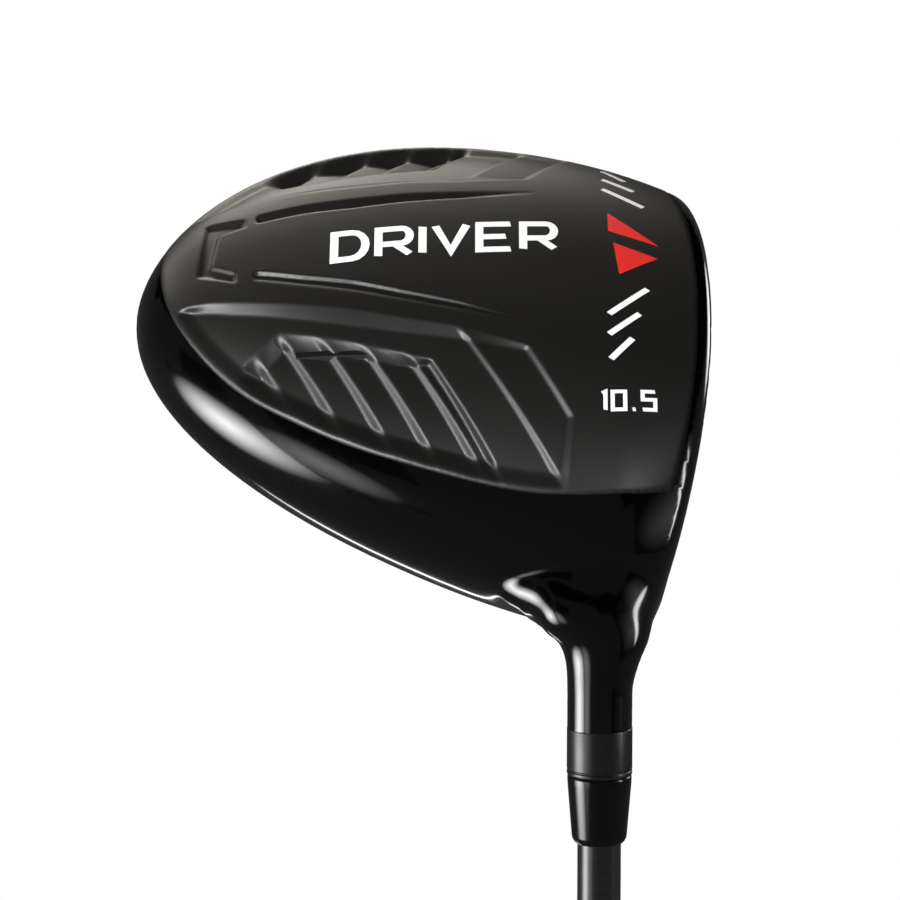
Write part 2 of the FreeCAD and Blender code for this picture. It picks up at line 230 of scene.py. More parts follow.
def head_distance(p):
    """Body and neck together, with a fillet that grows toward the hosel."""
    fillet = FILLET + FILLET_GROWTH * soft((p @ SHAFT_UP - FILLET_FROM) / 12.0)
    return round_or(body_distance(p), neck_distance(p), fillet)


def skin_distance(p):
    """The painted skin, which comes up to the form on the neck."""
    return head_distance(p) + SKIN_DROP * (1.0 - soft((p @ SHAFT_UP - 34.0) / 10.0))


def place(points):
    """Head frame in millimetres to the model's frame in metres."""
    p = np.asarray(points, float)
    turn = 0.5 * math.pi - LIE
    c, s = math.cos(turn), math.sin(turn)
    x, y, z = p[..., 0], p[..., 1], p[..., 2]
    return np.stack([x, c * y - s * z, s * y + c * z + GROUND_Z], -1) * MM


def place_direction(vectors):
    return (place(vectors) - place(np.zeros(3))) / MM


# ---- plan helpers
def smooth_path(points, steps=8):
    """Rounded path through the points (Catmull-Rom)."""
    pts = np.asarray(points, float)
    padded = np.vstack([2 * pts[0] - pts[1], pts, 2 * pts[-1] - pts[-2]])
    out = []
    for i in range(1, len(padded) - 2):
        a, b, c, d = padded[i - 1:i + 3]
        for t in np.arange(steps) / steps:
            out.append(0.5 * (2 * b + (c - a) * t + (2 * a - 5 * b + 4 * c - d) * t * t
                              + (3 * b - a - 3 * c + d) * t ** 3))
    return np.array(out + [pts[-1]])


def path_distance(x, y, path):
    """Distance in plan to an open path."""
    best = np.full(x.shape, 1e9)
    for (ax, ay), (bx, by) in zip(path[:-1], path[1:]):
        dx, dy = bx - ax, by - ay
        t = np.clip(((x - ax) * dx + (y - ay) * dy) / (dx * dx + dy * dy), 0.0, 1.0)
        best = np.minimum(best, np.hypot(x - ax - t * dx, y - ay - t * dy))
    return best


def inside_by(x, y, ring):
    """Distance in plan to a closed outline, above 0 inside it."""
    ring = [tuple(point) for point in ring]
    inside = np.zeros(x.shape, bool)
    for (ax, ay), (bx, by) in zip(ring, ring[1:] + ring[:1]):
        if ay != by:
            inside ^= ((ay > y) != (by > y)) & (x < (bx - ax) * (y - ay) / (by - ay) + ax)
    distance = path_distance(x, y, ring + ring[:1])
    return np.where(inside, distance, -distance)


def between(outer, inner):
    """0 on the outer outline, 1 on the inner one, and even in between."""
    share = np.clip(outer, 0.0, None) / np.maximum(outer - inner, 1e-6)
    return np.where(inner >= 0.0, 1.0, np.clip(share, 0.0, 1.0))


def soft(t):
    t = np.clip(t, 0.0, 1.0)
    return t * t * (3.0 - 2.0 * t)


SEAM_RING = smooth_path(SEAM)
NECK_PATH = smooth_path(NECK, 12)


def toward_edge(x, y, inside):
    """Plan places moved one step toward the outline on which inside() is 0."""
    d = inside(x, y)
    gx = (inside(x + 0.05, y) - inside(x - 0.05, y)) / 0.1
    gy = (inside(x, y + 0.05) - inside(x, y - 0.05)) / 0.1
    size = np.maximum(gx * gx + gy * gy, 0.25)
    return x - d * gx / size, y - d * gy / size


# ---- the sole panel
def sole_level(x, y):
    """Z of the form's sole side above a plan place."""
    middle = waist(x)
    toe, heel, sole = (curve["half"] * np.maximum(swell(x, curve), 0.02) for curve in (TOE, HEEL, SOLE))
    side = np.clip(np.abs((y - MID_Y) / np.where(y > MID_Y, toe, heel)), 0.0, 1.0)
    return middle + sole * (1.0 - side ** SIDE_POWER) ** (1.0 / DEPTH_POWER)


def louvre_depth(u):
    """Depth of the pocket's floor: each rib rises in a narrow face and falls away forward."""
    depth = np.full(u.shape, FLOOR_DEPTH)
    edges = RIBS + [RIB_END]
    for start, end in zip(edges[:-1], edges[1:]):
        crest = start + RIB_FACE
        fall = CREST_DEPTH + (FLOOR_DEPTH - CREST_DEPTH) * np.clip((u - crest) / (end - crest), 0.0, 1.0)
        rise = FLOOR_DEPTH + (CREST_DEPTH - FLOOR_DEPTH) * np.clip((u - start) / RIB_FACE, 0.0, 1.0)
        depth = np.where((u >= start) & (u < end), np.where(u < crest, rise, fall), depth)
    return depth


def half_relief(x, y):
    """Depth of the relief on one half of the sole, drawn as the heel half."""
    u = x + RIB_SLANT * y
    level = np.interp(u, [STEP_LOW, STEP_LOW + 1.5, -0.9], [LEDGE_DEPTH, 0.75, 1.35])
    recess = between(inside_by(x, y, SHOULDER), inside_by(x, y, LEDGE))
    pocket = between(inside_by(x, y, POCKET_RIM), inside_by(x, y, POCKET_FLOOR))
    depth = recess * (level + pocket * (louvre_depth(u) - level))
    ring = CHANNEL_TOP + CHANNEL_FOOT[::-1]
    top, foot = path_distance(x, y, CHANNEL_TOP), path_distance(x, y, CHANNEL_FOOT)
    fade = np.interp(x, [-72.0, -30.0, -12.0], [1.0, 0.8, 0.35])
    channel = np.clip(np.minimum(top / 0.6, foot / 1.7), 0.0, 1.0) * fade
    return depth + np.where(inside_by(x, y, ring) > 0.0, channel, 0.0)


def raw_relief(x, y):
    """Depth of the whole relief, with the bracket at the rear."""
    depth = np.where(y < RELIEF_MID_Y, half_relief(x, y), half_relief(x, 2.0 * RELIEF_MID_Y - y))
    ring = BRACKET_OUT + BRACKET_IN[::-1]
    groove = np.minimum(path_distance(x, y, BRACKET_OUT) / 0.9, path_distance(x, y, BRACKET_IN) / 0.6)
    return depth + np.where(inside_by(x, y, ring) > 0.0, 0.8 * np.clip(groove, 0.0, 1.0), 0.0)


def relief(x, y, inside):
    """Depth of the panel's surface below the form, edges softened, running out at the panel's edge."""
    reach = 0.3
    depth = raw_relief(x, y) * 2.0
    for i in range(6):
        a = math.radians(60.0 * i + 15.0)
        depth = depth + raw_relief(x + reach * math.cos(a), y + reach * math.sin(a))
    depth = depth / 8.0 * soft((inside - 0.4) / 3.4)
    rim = 0.26 * (1.0 - np.clip(inside / 0.85, 0.0, 1.0)) ** 2
    return depth + rim + PANEL_DROP


def draw_direction(y):
    """The relief's sides lean outward: to the heel on one half, to the toe on the other."""
    lean = RELIEF_LEAN * (soft((56.0 - y) / 26.0) - soft((y - 47.0) / 26.0))
    return np.stack([np.zeros(y.shape), lean, -np.sqrt(1.0 - lean ** 2)], -1)


def panel_inside(x, y):
    """Distance inside the sole panel's edge, above 0 on the panel."""
    on_form = np.stack([x, y, sole_level(x, y)], -1)
    return np.minimum(inside_by(x, y, SEAM_RING), -face_distance(on_form) - PANEL_FRONT)


def panel_surface(x, y):
    """Places on the moulded panel over plan places."""
    depth = relief(x, y, panel_inside(x, y))
    return np.stack([x, y, sole_level(x, y)], -1) + depth[..., None] * draw_direction(y)


def fills_surface(x, y, lift):
    """Places just above the panel's plain ground, where the painted marks lie."""
    return np.stack([x, y, sole_level(x, y) - PANEL_DROP + lift], -1)


# ---- mesh helpers
def new_piece(name, mesh, slot, replaces, smooth=True):
    """Registers a finished mesh as a painted piece of the object on its only body."""
    if smooth:
        mesh.polygons.foreach_set("use_smooth", [True] * len(mesh.polygons))
    obj = bpy.data.objects.new(name, mesh)
    paint(obj, slot)
    bpy.context.scene.collection.objects.link(obj)
    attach(obj, "root")
    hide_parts(*replaces)


def mesh_from(bm, name):
    mesh = bpy.data.meshes.new(name)
    bm.to_mesh(mesh)
    bm.free()
    return mesh


def coordinates(bm):
    return np.array([v.co for v in bm.verts], float).reshape(-1, 3)


def set_coordinates(bm, points):
    for vert, point in zip(bm.verts, points):
        vert.co = point


def fitted_grid(name, us, vs, to_plan, inside, surface, wall, outward):
    """A fine grid cut to an outline and drawn onto it, laid on a surface and given a rim wall."""
    bm = bmesh.new()
    bmesh.ops.create_grid(bm, x_segments=len(us) - 1, y_segments=len(vs) - 1, size=1.0)
    grid = coordinates(bm)
    column = np.rint((grid[:, 0] + 1.0) / 2.0 * (len(us) - 1)).astype(int)
    row = np.rint((grid[:, 1] + 1.0) / 2.0 * (len(vs) - 1)).astype(int)
    x, y = to_plan(np.asarray(us)[column], np.asarray(vs)[row])
    depth_in = inside(x, y)
    pitch = 0.5 * (us[1] - us[0])
    for vert, value in zip(list(bm.verts), depth_in):
        vert.tag = value < -pitch
    set_coordinates(bm, np.stack([x, y, depth_in], -1))
    bmesh.ops.delete(bm, geom=[v for v in bm.verts if v.tag], context="VERTS")
    loose = [v for v in bm.verts if len(v.link_faces) < 2]
    bmesh.ops.delete(bm, geom=loose, context="VERTS")
    edge = [v for v in bm.verts if v.is_boundary]
    ex, ey = np.array([v.co.x for v in edge]), np.array([v.co.y for v in edge])
    for _ in range(3):
        ex, ey = toward_edge(ex, ey, inside)
    for vert, px, py in zip(edge, ex, ey):
        vert.co.x, vert.co.y = px, py
    flat = coordinates(bm)
    set_coordinates(bm, place(surface(flat[:, 0], flat[:, 1])))
    boundary = [e for e in bm.edges if e.is_boundary]
    made = bmesh.ops.extrude_edge_only(bm, edges=boundary)["geom"]
    out = Vector(place_direction(np.asarray(outward, float)))
    for vert in (g for g in made if isinstance(g, bmesh.types.BMVert)):
        vert.co -= out * wall * MM
    bm.normal_update()
    bmesh.ops.recalc_face_normals(bm, faces=bm.faces)
    middle = max(bm.faces, key=lambda f: -abs(f.calc_center_median().x))
    if middle.normal.dot(out) < 0:
        bmesh.ops.reverse_faces(bm, faces=bm.faces)
    return mesh_from(bm, name)


def rounded(profile, radius, steps=3):
    """The same (radius, Z) profile with its corners rounded."""
    pts = [np.array(p, float) for p in profile]
    out = [tuple(pts[0])]
    for a, b, c in zip(pts[:-2], pts[1:-1], pts[2:]):
        reach = min(radius, 0.45 * np.linalg.norm(b - a), 0.45 * np.linalg.norm(c - b))
        start = b + (a - b) / np.linalg.norm(a - b) * reach
        end = b + (c - b) / np.linalg.norm(c - b) * reach
        for i in range(steps + 1):
            t = i / steps
            out.append(tuple((1 - t) ** 2 * start + 2 * t * (1 - t) * b + t * t * end))
    return out + [tuple(pts[-1])]


def spun(name, profile, steps=96):
    """A turned piece about the shaft axis from (radius, Z) points in millimetres."""
    bm = bmesh.new()
    verts = [bm.verts.new((r * MM, 0.0, z * MM)) for r, z in profile]
    edges = [bm.edges.new(pair) for pair in zip(verts[:-1], verts[1:])]
    bmesh.ops.spin(bm, geom=verts + edges, cent=(0, 0, 0), axis=(0, 0, 1), dvec=(0, 0, 0),
                   angle=2.0 * math.pi, steps=steps, use_merge=True, use_duplicate=False)
    bmesh.ops.remove_doubles(bm, verts=bm.verts, dist=1e-7)
    bmesh.ops.recalc_face_normals(bm, faces=bm.faces)
    return mesh_from(bm, name)


# ---- the painted head
def add_cone(bm, top, axis, foot_r):
    """A cone from the hosel's radius at its top, along an axis to its foot, in the head frame."""
    made = bmesh.ops.create_cone(bm, cap_ends=True, segments=48, radius1=HOSEL_R * MM, radius2=foot_r * MM,
                                 depth=1.0)["verts"]
    axis = Vector(axis)
    turn = Vector((0, 0, 1)).rotation_difference(axis).to_matrix()
    for vert in made:
        flat = Vector((vert.co.x, vert.co.y, 0.0))
        vert.co = Vector(top) * MM + turn @ flat + axis * MM * (vert.co.z + 0.5)


def skin_blank():
    """A closed blank close to the head: a ball drawn onto the body, joined to a cone along the neck."""
    bm = bmesh.new()
    bmesh.ops.create_icosphere(bm, subdivisions=6, radius=1.0)
    rays = coordinates(bm)
    rays /= np.linalg.norm(rays, axis=1)[:, None]
    centre = np.array([-32.0, MID_Y, -26.0])
    low, high = np.zeros(len(rays)), np.full(len(rays), 110.0)
    for _ in range(22):
        middle = 0.5 * (low + high)
        outside = body_distance(centre + rays * middle[:, None]) > 0.0
        high, low = np.where(outside, middle, high), np.where(outside, low, middle)
    set_coordinates(bm, (centre + rays * low[:, None]) * MM)
    top = SHAFT_UP * (HOSEL_TOP + 1.2)
    add_cone(bm, top, SHAFT_UP * 20.0 + LEAN_IN * 9.0 - top, 13.0)
    add_cone(bm, SHAFT_UP * 39.8, SHAFT_UP * 26.0, HOSEL_R)
    bmesh.ops.recalc_face_normals(bm, faces=bm.faces)
    return mesh_from(bm, "blank")


def evened_blank(pitch):
    """The blank as one closed skin of even square faces."""
    obj = bpy.data.objects.new("blank", skin_blank())
    bpy.context.scene.collection.objects.link(obj)
    remesh = obj.modifiers.new("even", "REMESH")
    remesh.mode = "VOXEL"
    remesh.voxel_size = pitch * MM
    graph = bpy.context.evaluated_depsgraph_get()
    mesh = bpy.data.meshes.new_from_object(obj.evaluated_get(graph))
    bpy.data.objects.remove(obj)
    return mesh


def drawn_to(points, field, rounds):
    """Points moved onto the surface where the field is 0, and kept behind the rear end's limit."""
    for _ in range(rounds):
        slope = gradient(field, points)
        size = np.maximum((slope ** 2).sum(-1), 0.2)
        move = slope * (field(points) / size)[:, None]
        length = np.linalg.norm(move, axis=1)
        points = points - move * np.minimum(1.0, 2.0 / np.maximum(length, 1e-9))[:, None]
        points[:, 0] = np.maximum(points[:, 0], REAR_X + SKIN_DROP)
    return points


class Links:
    """Which vertices of a mesh are neighbours."""

    def __init__(self, bm):
        self.first, self.second = np.array([[v.index for v in e.verts] for e in bm.edges]).T
        count = np.bincount(np.concatenate([self.first, self.second]), minlength=len(bm.verts))
        self.count = np.maximum(count, 1)[:, None]

    def toward_mean(self, values):
        """For each vertex, the way from its own value to the mean of its neighbours'."""
        total = np.zeros(values.shape)
        np.add.at(total, self.first, values[self.second])
        np.add.at(total, self.second, values[self.first])
        return total / self.count - values

    def eased(self, values, share):
        """Values evened out by as much as share says, without shrinking the form."""
        for step in (0.5, -0.51) * 70:
            values = values + step * share[:, None] * self.toward_mean(values)
        return values


def onto_panel_edge(points, pitch):
    """Vertices near the sole panel's edge go onto it. Returns how far inside the edge every vertex is."""
    x, y = points[:, 0].copy(), points[:, 1].copy()
    edge = np.where(points[:, 2] > waist(x), panel_inside(x, y), FAR)
    near = np.abs(edge) < NEAR * pitch
    for _ in range(2):
        x[near], y[near] = toward_edge(x[near], y[near], panel_inside)
    points[near, 0], points[near, 1] = x[near], y[near]
    points[near, 2] = sole_level(x[near], y[near]) - SKIN_DROP
    return np.where(near, 0.0, edge)


def onto_plate_edge(points, pitch):
    """Vertices near the face plate's edge slide along the face onto it. Returns as above."""
    plate = np.where(face_distance(points) > -1.2, face_inside_points(points), FAR)
    near = np.abs(plate) < NEAR * pitch
    for _ in range(2):
        rim = points[near]
        slope = gradient(face_inside_points, rim)
        out = (rim - FACE_CENTRE) / np.linalg.norm(rim - FACE_CENTRE, axis=1)[:, None]
        slope -= out * (slope * out).sum(-1)[:, None]
        rim = rim - slope * (face_inside_points(rim) / np.maximum((slope ** 2).sum(-1), 0.3))[:, None]
        out = (rim - FACE_CENTRE) / np.linalg.norm(rim - FACE_CENTRE, axis=1)[:, None]
        points[near] = FACE_CENTRE + out * (FACE_RADIUS - SKIN_DROP)
    return np.where(near, 0.0, plate)


def head_skin(pitch):
    """The painted skin, evened out at the neck's flare and open under the sole panel and the face plate."""
    bm = bmesh.new()
    bm.from_mesh(evened_blank(pitch))
    links = Links(bm)
    points = drawn_to(coordinates(bm) / MM, skin_distance, 3)
    for _ in range(6):
        points = drawn_to(points + 0.5 * links.toward_mean(points), skin_distance, 1)
    along = points @ SHAFT_UP
    flare = soft((along - FLARE_FROM) / 5.0) * soft((FLARE_TO - along) / 4.0)
    points = links.eased(points, flare)
    edge = onto_panel_edge(points, pitch)
    plate = onto_plate_edge(points, pitch)
    normals = gradient(head_distance, points)
    normals /= np.linalg.norm(normals, axis=1)[:, None]
    dip = 1.6 * np.clip(edge, 0.0, None) + 0.9 * np.clip(plate, 0.0, None)
    set_coordinates(bm, place(points - normals * dip[:, None]))
    bm.normal_update()
    own = np.array([vert.normal for vert in bm.verts])
    normals = place_direction(normals) * (1.0 - flare[:, None]) + own * flare[:, None]
    normals = links.eased(normals, flare)
    layer = bm.verts.layers.float_vector.new("lay")
    for vert, gone, normal in zip(bm.verts, (edge > TUCK) | (plate > TUCK), normals):
        vert.tag = bool(gone)
        vert[layer] = normal
    bmesh.ops.delete(bm, geom=[f for f in bm.faces if all(v.tag for v in f.verts)], context="FACES")
    laid = [tuple(v[layer]) for v in bm.verts]
    mesh = mesh_from(bm, "head_body")
    mesh.polygons.foreach_set("use_smooth", [True] * len(mesh.polygons))
    mesh.normals_split_custom_set_from_vertices(laid)
    return mesh


# ---- the face plate
PLATE_RIM = 3.4             # width of the painted rim round the face plate
SCORE_DEPTH = 0.3
SCORE_LINES, SCORE_PITCH, SCORE_TOP, SCORE_HALF = 9, 4.0, 16.0, 0.55
SCORE_FROM, SCORE_TO = 15.0, 38.0   # the lines' reach to either side of the face's middle


def face_point(y, z):
    """Place on the face's sphere beside its centre: Y toward the toe, z down the loft."""
    down = np.array([math.sin(LOFT), 0.0, math.cos(LOFT)])
    across = np.array([0.0, 1.0, 0.0])
    depth = FACE_RADIUS - np.sqrt(FACE_RADIUS ** 2 - (y - MID_Y) ** 2 - z ** 2)
    base = np.array([FACE_X, MID_Y, FACE_Z])
    return base + (y - MID_Y)[..., None] * across + z[..., None] * down - depth[..., None] * FACE_NORMAL


def face_inside_points(p):
    """How far inside the face plate's edge a place is, above 0 on the plate."""
    return -form_distance(p) - PLATE_RIM


def face_inside(y, z):
    return face_inside_points(face_point(y, z))


def face_surface(y, z):
    """The plate with a rolled rim and score lines toward the heel and the toe of its plain middle."""
    edge = face_inside(y, z)
    depth = 0.2 * (1.0 - np.clip(edge / 0.8, 0.0, 1.0)) ** 2 + 0.06
    for row in range(SCORE_LINES):
        centre = SCORE_TOP - SCORE_PITCH * row
        groove = SCORE_DEPTH * np.clip(1.0 - np.abs(z - centre) / SCORE_HALF, 0.0, 1.0) ** 0.7
        heel = np.minimum(y - (MID_Y - SCORE_TO + 0.6 * row), MID_Y - SCORE_FROM - y)
        toe = np.minimum(y - (MID_Y + SCORE_FROM), MID_Y + SCORE_TO - 1.2 * row - y)
        depth = depth + groove * soft(np.maximum(heel, toe) / 0.6) * soft(edge / 1.5)
    return face_point(y, z) - depth[..., None] * FACE_NORMAL


# ---- the marks
def arc(cx, cy, rx, ry, start, end, steps=8):
    """Points of an oval arc, its ends in degrees."""
    turns = [math.radians(start + (end - start) * i / steps) for i in range(steps + 1)]
    return [(cx + rx * math.cos(t), cy + ry * math.sin(t)) for t in turns]


# strokes of plain letters and numerals in a box one wide and one high
GLYPHS = {
    "D": [[(0.0, 0.0)] + arc(0.55, 0.5, 0.45, 0.5, -90, 90) + [(0.0, 1.0), (0.0, 0.0)]],
    "R": [[(0.0, 0.0), (0.0, 1.0)] + arc(0.74, 0.71, 0.26, 0.29, 90, -90) + [(0.0, 0.42)],
          [(0.5, 0.42), (1.0, 0.0)]],
    "I": [[(0.0, 0.0), (0.0, 1.0)]],
    "V": [[(0.0, 1.0), (0.5, 0.0), (1.0, 1.0)]],
    "E": [[(1.0, 1.0), (0.0, 1.0), (0.0, 0.0), (1.0, 0.0)], [(0.0, 0.5), (0.85, 0.5)]],
    "1": [[(0.05, 0.92), (0.3, 1.0), (0.3, 0.0)]],
    "0": [[(0.0, 0.0), (0.0, 1.0), (1.0, 1.0), (1.0, 0.0), (0.0, 0.0)]],
    "5": [[(1.0, 1.0), (0.0, 1.0), (0.0, 0.55), (1.0, 0.55), (1.0, 0.0), (0.0, 0.0)]],
    ".": [[(0.0, 0.0), (0.25, 0.0)]]}
NARROW = {"I": 0.0, "1": 0.3, ".": 0.25}
TEXT_TURN = math.radians(10.3)
BARS = [((1.9, 92.0), (6.5, 87.2)), ((1.7, 85.5), (8.3, 81.7)), ((1.6, 80.0), (10.2, 74.3)),
        ((10.4, 44.4), (2.3, 35.1)), ((8.6, 36.3), (2.2, 29.1)), ((7.0, 28.7), (2.5, 22.2))]
EMBLEM = [[(2.5, 69.5), (13.0, 59.5), (2.5, 62.5)], [(3.5, 58.5), (12.8, 55.0), (4.6, 48.0)]]
MARK_LIFT = 0.04


def letter_paths(text, corner, height, width, gap):
    """Strokes of a word from its lower left corner, its letters upright on a slanting base line."""
    c, s = math.cos(TEXT_TURN), math.sin(TEXT_TURN)
    paths, pen = [], 0.0
    for char in text:
        for path in GLYPHS[char]:
            spots = [(pen + u * width, v * height) for u, v in path]
            paths.append([(corner[0] + a * c, corner[1] + a * s + b) for a, b in spots])
        pen += width * NARROW.get(char, 1.0) + gap
    return paths


def stroke(bm, path, width):
    """A flat ribbon of even width along a path, its corners mitred."""
    pts = [np.array(p) for p in path]
    closed = np.linalg.norm(pts[0] - pts[-1]) < 1e-6
    if closed:
        pts = pts[:-1]
    n = len(pts)
    rows = []
    for i, p in enumerate(pts):
        before = pts[i - 1] if (i or closed) else None
        after = pts[(i + 1) % n] if (i < n - 1 or closed) else None
        ways = [w / np.linalg.norm(w) for w in ((p - before) if before is not None else None,
                                                (after - p) if after is not None else None) if w is not None]
        way = sum(ways) / np.linalg.norm(sum(ways))
        side = np.array([-way[1], way[0]])
        reach = 0.5 * width / max(abs(float(side @ np.array([-ways[0][1], ways[0][0]]))), 0.45)
        rows.append((bm.verts.new((*(p + side * reach), 0.0)), bm.verts.new((*(p - side * reach), 0.0))))
    if closed:
        rows.append(rows[0])
    for (a, b), (c, d) in zip(rows[:-1], rows[1:]):
        bm.faces.new((a, b, d, c))


def fill_mesh(name, paths, width, outlines=()):
    """Paint fills laid on the sole: strokes and closed outlines, cut fine enough to follow it."""
    bm = bmesh.new()
    for path in paths:
        stroke(bm, path, width)
    for ring in outlines:
        bm.faces.new([bm.verts.new((x, y, 0.0)) for x, y in ring])
    bmesh.ops.triangulate(bm, faces=bm.faces)
    for _ in range(5):
        long = [e for e in bm.edges if e.calc_length() > 1.3]
        if long:
            bmesh.ops.subdivide_edges(bm, edges=long, cuts=1)
            bmesh.ops.triangulate(bm, faces=bm.faces)
    bmesh.ops.recalc_face_normals(bm, faces=bm.faces)
    flat = coordinates(bm)
    set_coordinates(bm, place(fills_surface(flat[:, 0], flat[:, 1], MARK_LIFT)))
    bm.normal_update()
    out = Vector(place_direction(np.array([0.0, 0.0, 1.0])))
    bmesh.ops.reverse_faces(bm, faces=[f for f in bm.faces if f.normal.dot(out) < 0])
    made = bmesh.ops.extrude_edge_only(bm, edges=[e for e in bm.edges if e.is_boundary])["geom"]
    for vert in (g for g in made if isinstance(g, bmesh.types.BMVert)):
        vert.co -= out * 0.15 * MM
    return mesh_from(bm, name)


# ---- materials
def group_tree(name, inputs, *outputs):
    """A node group of plain number sockets, its inputs given with their defaults."""
    tree = bpy.data.node_groups.new(name, "ShaderNodeTree")
    for label, default in inputs.items():
        socket = tree.interface.new_socket(name=label, in_out="INPUT", socket_type="NodeSocketFloat")
        socket.default_value = default
    for label in outputs:
        tree.interface.new_socket(name=label, in_out="OUTPUT", socket_type="NodeSocketFloat")
    return tree, tree.nodes.new("NodeGroupInput"), tree.nodes.new("NodeGroupOutput")


def math_node(tree, operation, a, b=None):
    node = tree.nodes.new("ShaderNodeMath")
    node.operation = operation
    for socket, value in zip(node.inputs, (a, b)):
        if isinstance(value, (int, float)):
            socket.default_value = value
        elif value is not None:
            tree.links.new(value, socket)
    return node.outputs[0]


def object_place(tree):
    return tree.nodes.new("ShaderNodeTexCoord").outputs["Object"]


def split_place(tree):
    split = tree.nodes.new("ShaderNodeSeparateXYZ")
    tree.links.new(object_place(tree), split.inputs[0])
    return split.outputs


def noise_node(tree, scale, detail=2.0):
    """Noise over Object coordinates, its scale a number or a socket."""
    noise = tree.nodes.new("ShaderNodeTexNoise")
    tree.links.new(object_place(tree), noise.inputs["Vector"])
    if isinstance(scale, float):
        noise.inputs["Scale"].default_value = scale
    else:
        tree.links.new(scale, noise.inputs["Scale"])
    noise.inputs["Detail"].default_value = detail
    return noise.outputs["Fac"]


def paint_grain_group():
    """Fine orange-peel or grain: a height and a slow roughness change."""
    tree, inside, out = group_tree("paint_grain", dict(Scale=900.0, Mottle=0.05, Roughness=0.3),
                                   "Height", "Roughness")
    slow = math_node(tree, "SUBTRACT", noise_node(tree, 45.0, 4.0), 0.5)
    shift = math_node(tree, "MULTIPLY", slow, inside.outputs["Mottle"])
    tree.links.new(noise_node(tree, inside.outputs["Scale"], 3.0), out.inputs["Height"])
    tree.links.new(math_node(tree, "ADD", inside.outputs["Roughness"], shift), out.inputs["Roughness"])
    return tree


def turned_lines_group():
    """Fine lines of a turned part: a height that changes along Z only."""
    tree, inside, out = group_tree("turned_lines", dict(Scale=4000.0), "Height")
    noise = tree.nodes.new("ShaderNodeTexNoise")
    noise.noise_dimensions = "1D"
    tree.links.new(split_place(tree)["Z"], noise.inputs["W"])
    tree.links.new(inside.outputs["Scale"], noise.inputs["Scale"])
    tree.links.new(noise.outputs["Fac"], out.inputs["Height"])
    return tree


def weave_group():
    """Wound cloth under clear coat: crossed helical bands round the shaft axis, as a mask."""
    tree, inside, out = group_tree("wound_weave", dict(Pitch=900.0), "Mask")
    where = split_place(tree)
    along = math_node(tree, "MULTIPLY", where["Z"], inside.outputs["Pitch"])
    around = math_node(tree, "MULTIPLY", math_node(tree, "ARCTAN2", where["Y"], where["X"]), 5.0)
    one = math_node(tree, "SINE", math_node(tree, "ADD", along, around))
    two = math_node(tree, "SINE", math_node(tree, "SUBTRACT", along, around))
    mask = math_node(tree, "MULTIPLY_ADD", math_node(tree, "MULTIPLY", one, two), 0.5)
    mask.node.inputs[2].default_value = 0.5
    tree.links.new(mask, out.inputs["Mask"])
    return tree


def edge_wear_group():
    """Rubbed edges: where the surface is pointed, a little of the wear shows, broken up by noise."""
    tree, inside, out = group_tree("rubbed_edges", dict(Amount=0.2), "Mask")
    shape = tree.nodes.new("ShaderNodeNewGeometry")
    ramp = tree.nodes.new("ShaderNodeMapRange")
    tree.links.new(shape.outputs["Pointiness"], ramp.inputs["Value"])
    ramp.inputs["From Min"].default_value = 0.52
    ramp.inputs["From Max"].default_value = 0.62
    worn = math_node(tree, "MULTIPLY", ramp.outputs[0], noise_node(tree, 260.0))
    tree.links.new(math_node(tree, "MULTIPLY", worn, inside.outputs["Amount"]), out.inputs["Mask"])
    return tree


GROUPS = {}


def use_group(tree, name, **values):
    node = tree.nodes.new("ShaderNodeGroup")
    node.node_tree = GROUPS[name]
    for label, value in values.items():
        node.inputs[label].default_value = value
    return node


def finish_material(name, colour, roughness, metallic=0.0, coat=0.0, coat_roughness=0.05, specular=0.5,
                    grain=(900.0, 0.04), bump=0.02, pattern=None, pattern_scale=None, wear=0.0, second=None):
    """A painted, moulded or turned finish with its own grain and slow change in roughness."""
    material = bpy.data.materials.new(name)
    material.use_nodes = True
    tree = material.node_tree
    shader = tree.nodes["Principled BSDF"]
    shader.inputs["Metallic"].default_value = metallic
    shader.inputs["Specular IOR Level"].default_value = specular
    shader.inputs["Coat Weight"].default_value = coat
    shader.inputs["Coat Roughness"].default_value = coat_roughness
    shader.inputs["Base Color"].default_value = (*colour, 1.0)
    surface = use_group(tree, "paint_grain", Scale=grain[0], Mottle=grain[1], Roughness=roughness)
    tree.links.new(surface.outputs["Roughness"], shader.inputs["Roughness"])
    height = surface.outputs["Height"]
    if pattern == "turned_lines":
        height = use_group(tree, pattern, Scale=pattern_scale).outputs["Height"]
    mask = None
    if pattern == "wound_weave":
        mask = use_group(tree, pattern, Pitch=pattern_scale).outputs["Mask"]
    elif wear:
        mask = use_group(tree, "rubbed_edges", Amount=wear).outputs["Mask"]
    if mask is not None:
        mix = tree.nodes.new("ShaderNodeMix")
        mix.data_type = "RGBA"
        mix.inputs["A"].default_value = (*colour, 1.0)
        mix.inputs["B"].default_value = (*second, 1.0)
        tree.links.new(mask, mix.inputs["Factor"])
        tree.links.new(mix.outputs["Result"], shader.inputs["Base Color"])
    relief_node = tree.nodes.new("ShaderNodeBump")
    relief_node.inputs["Strength"].default_value = bump
    relief_node.inputs["Distance"].default_value = 0.0002
    tree.links.new(height, relief_node.inputs["Height"])
    tree.links.new(relief_node.outputs["Normal"], shader.inputs["Normal"])
    return material


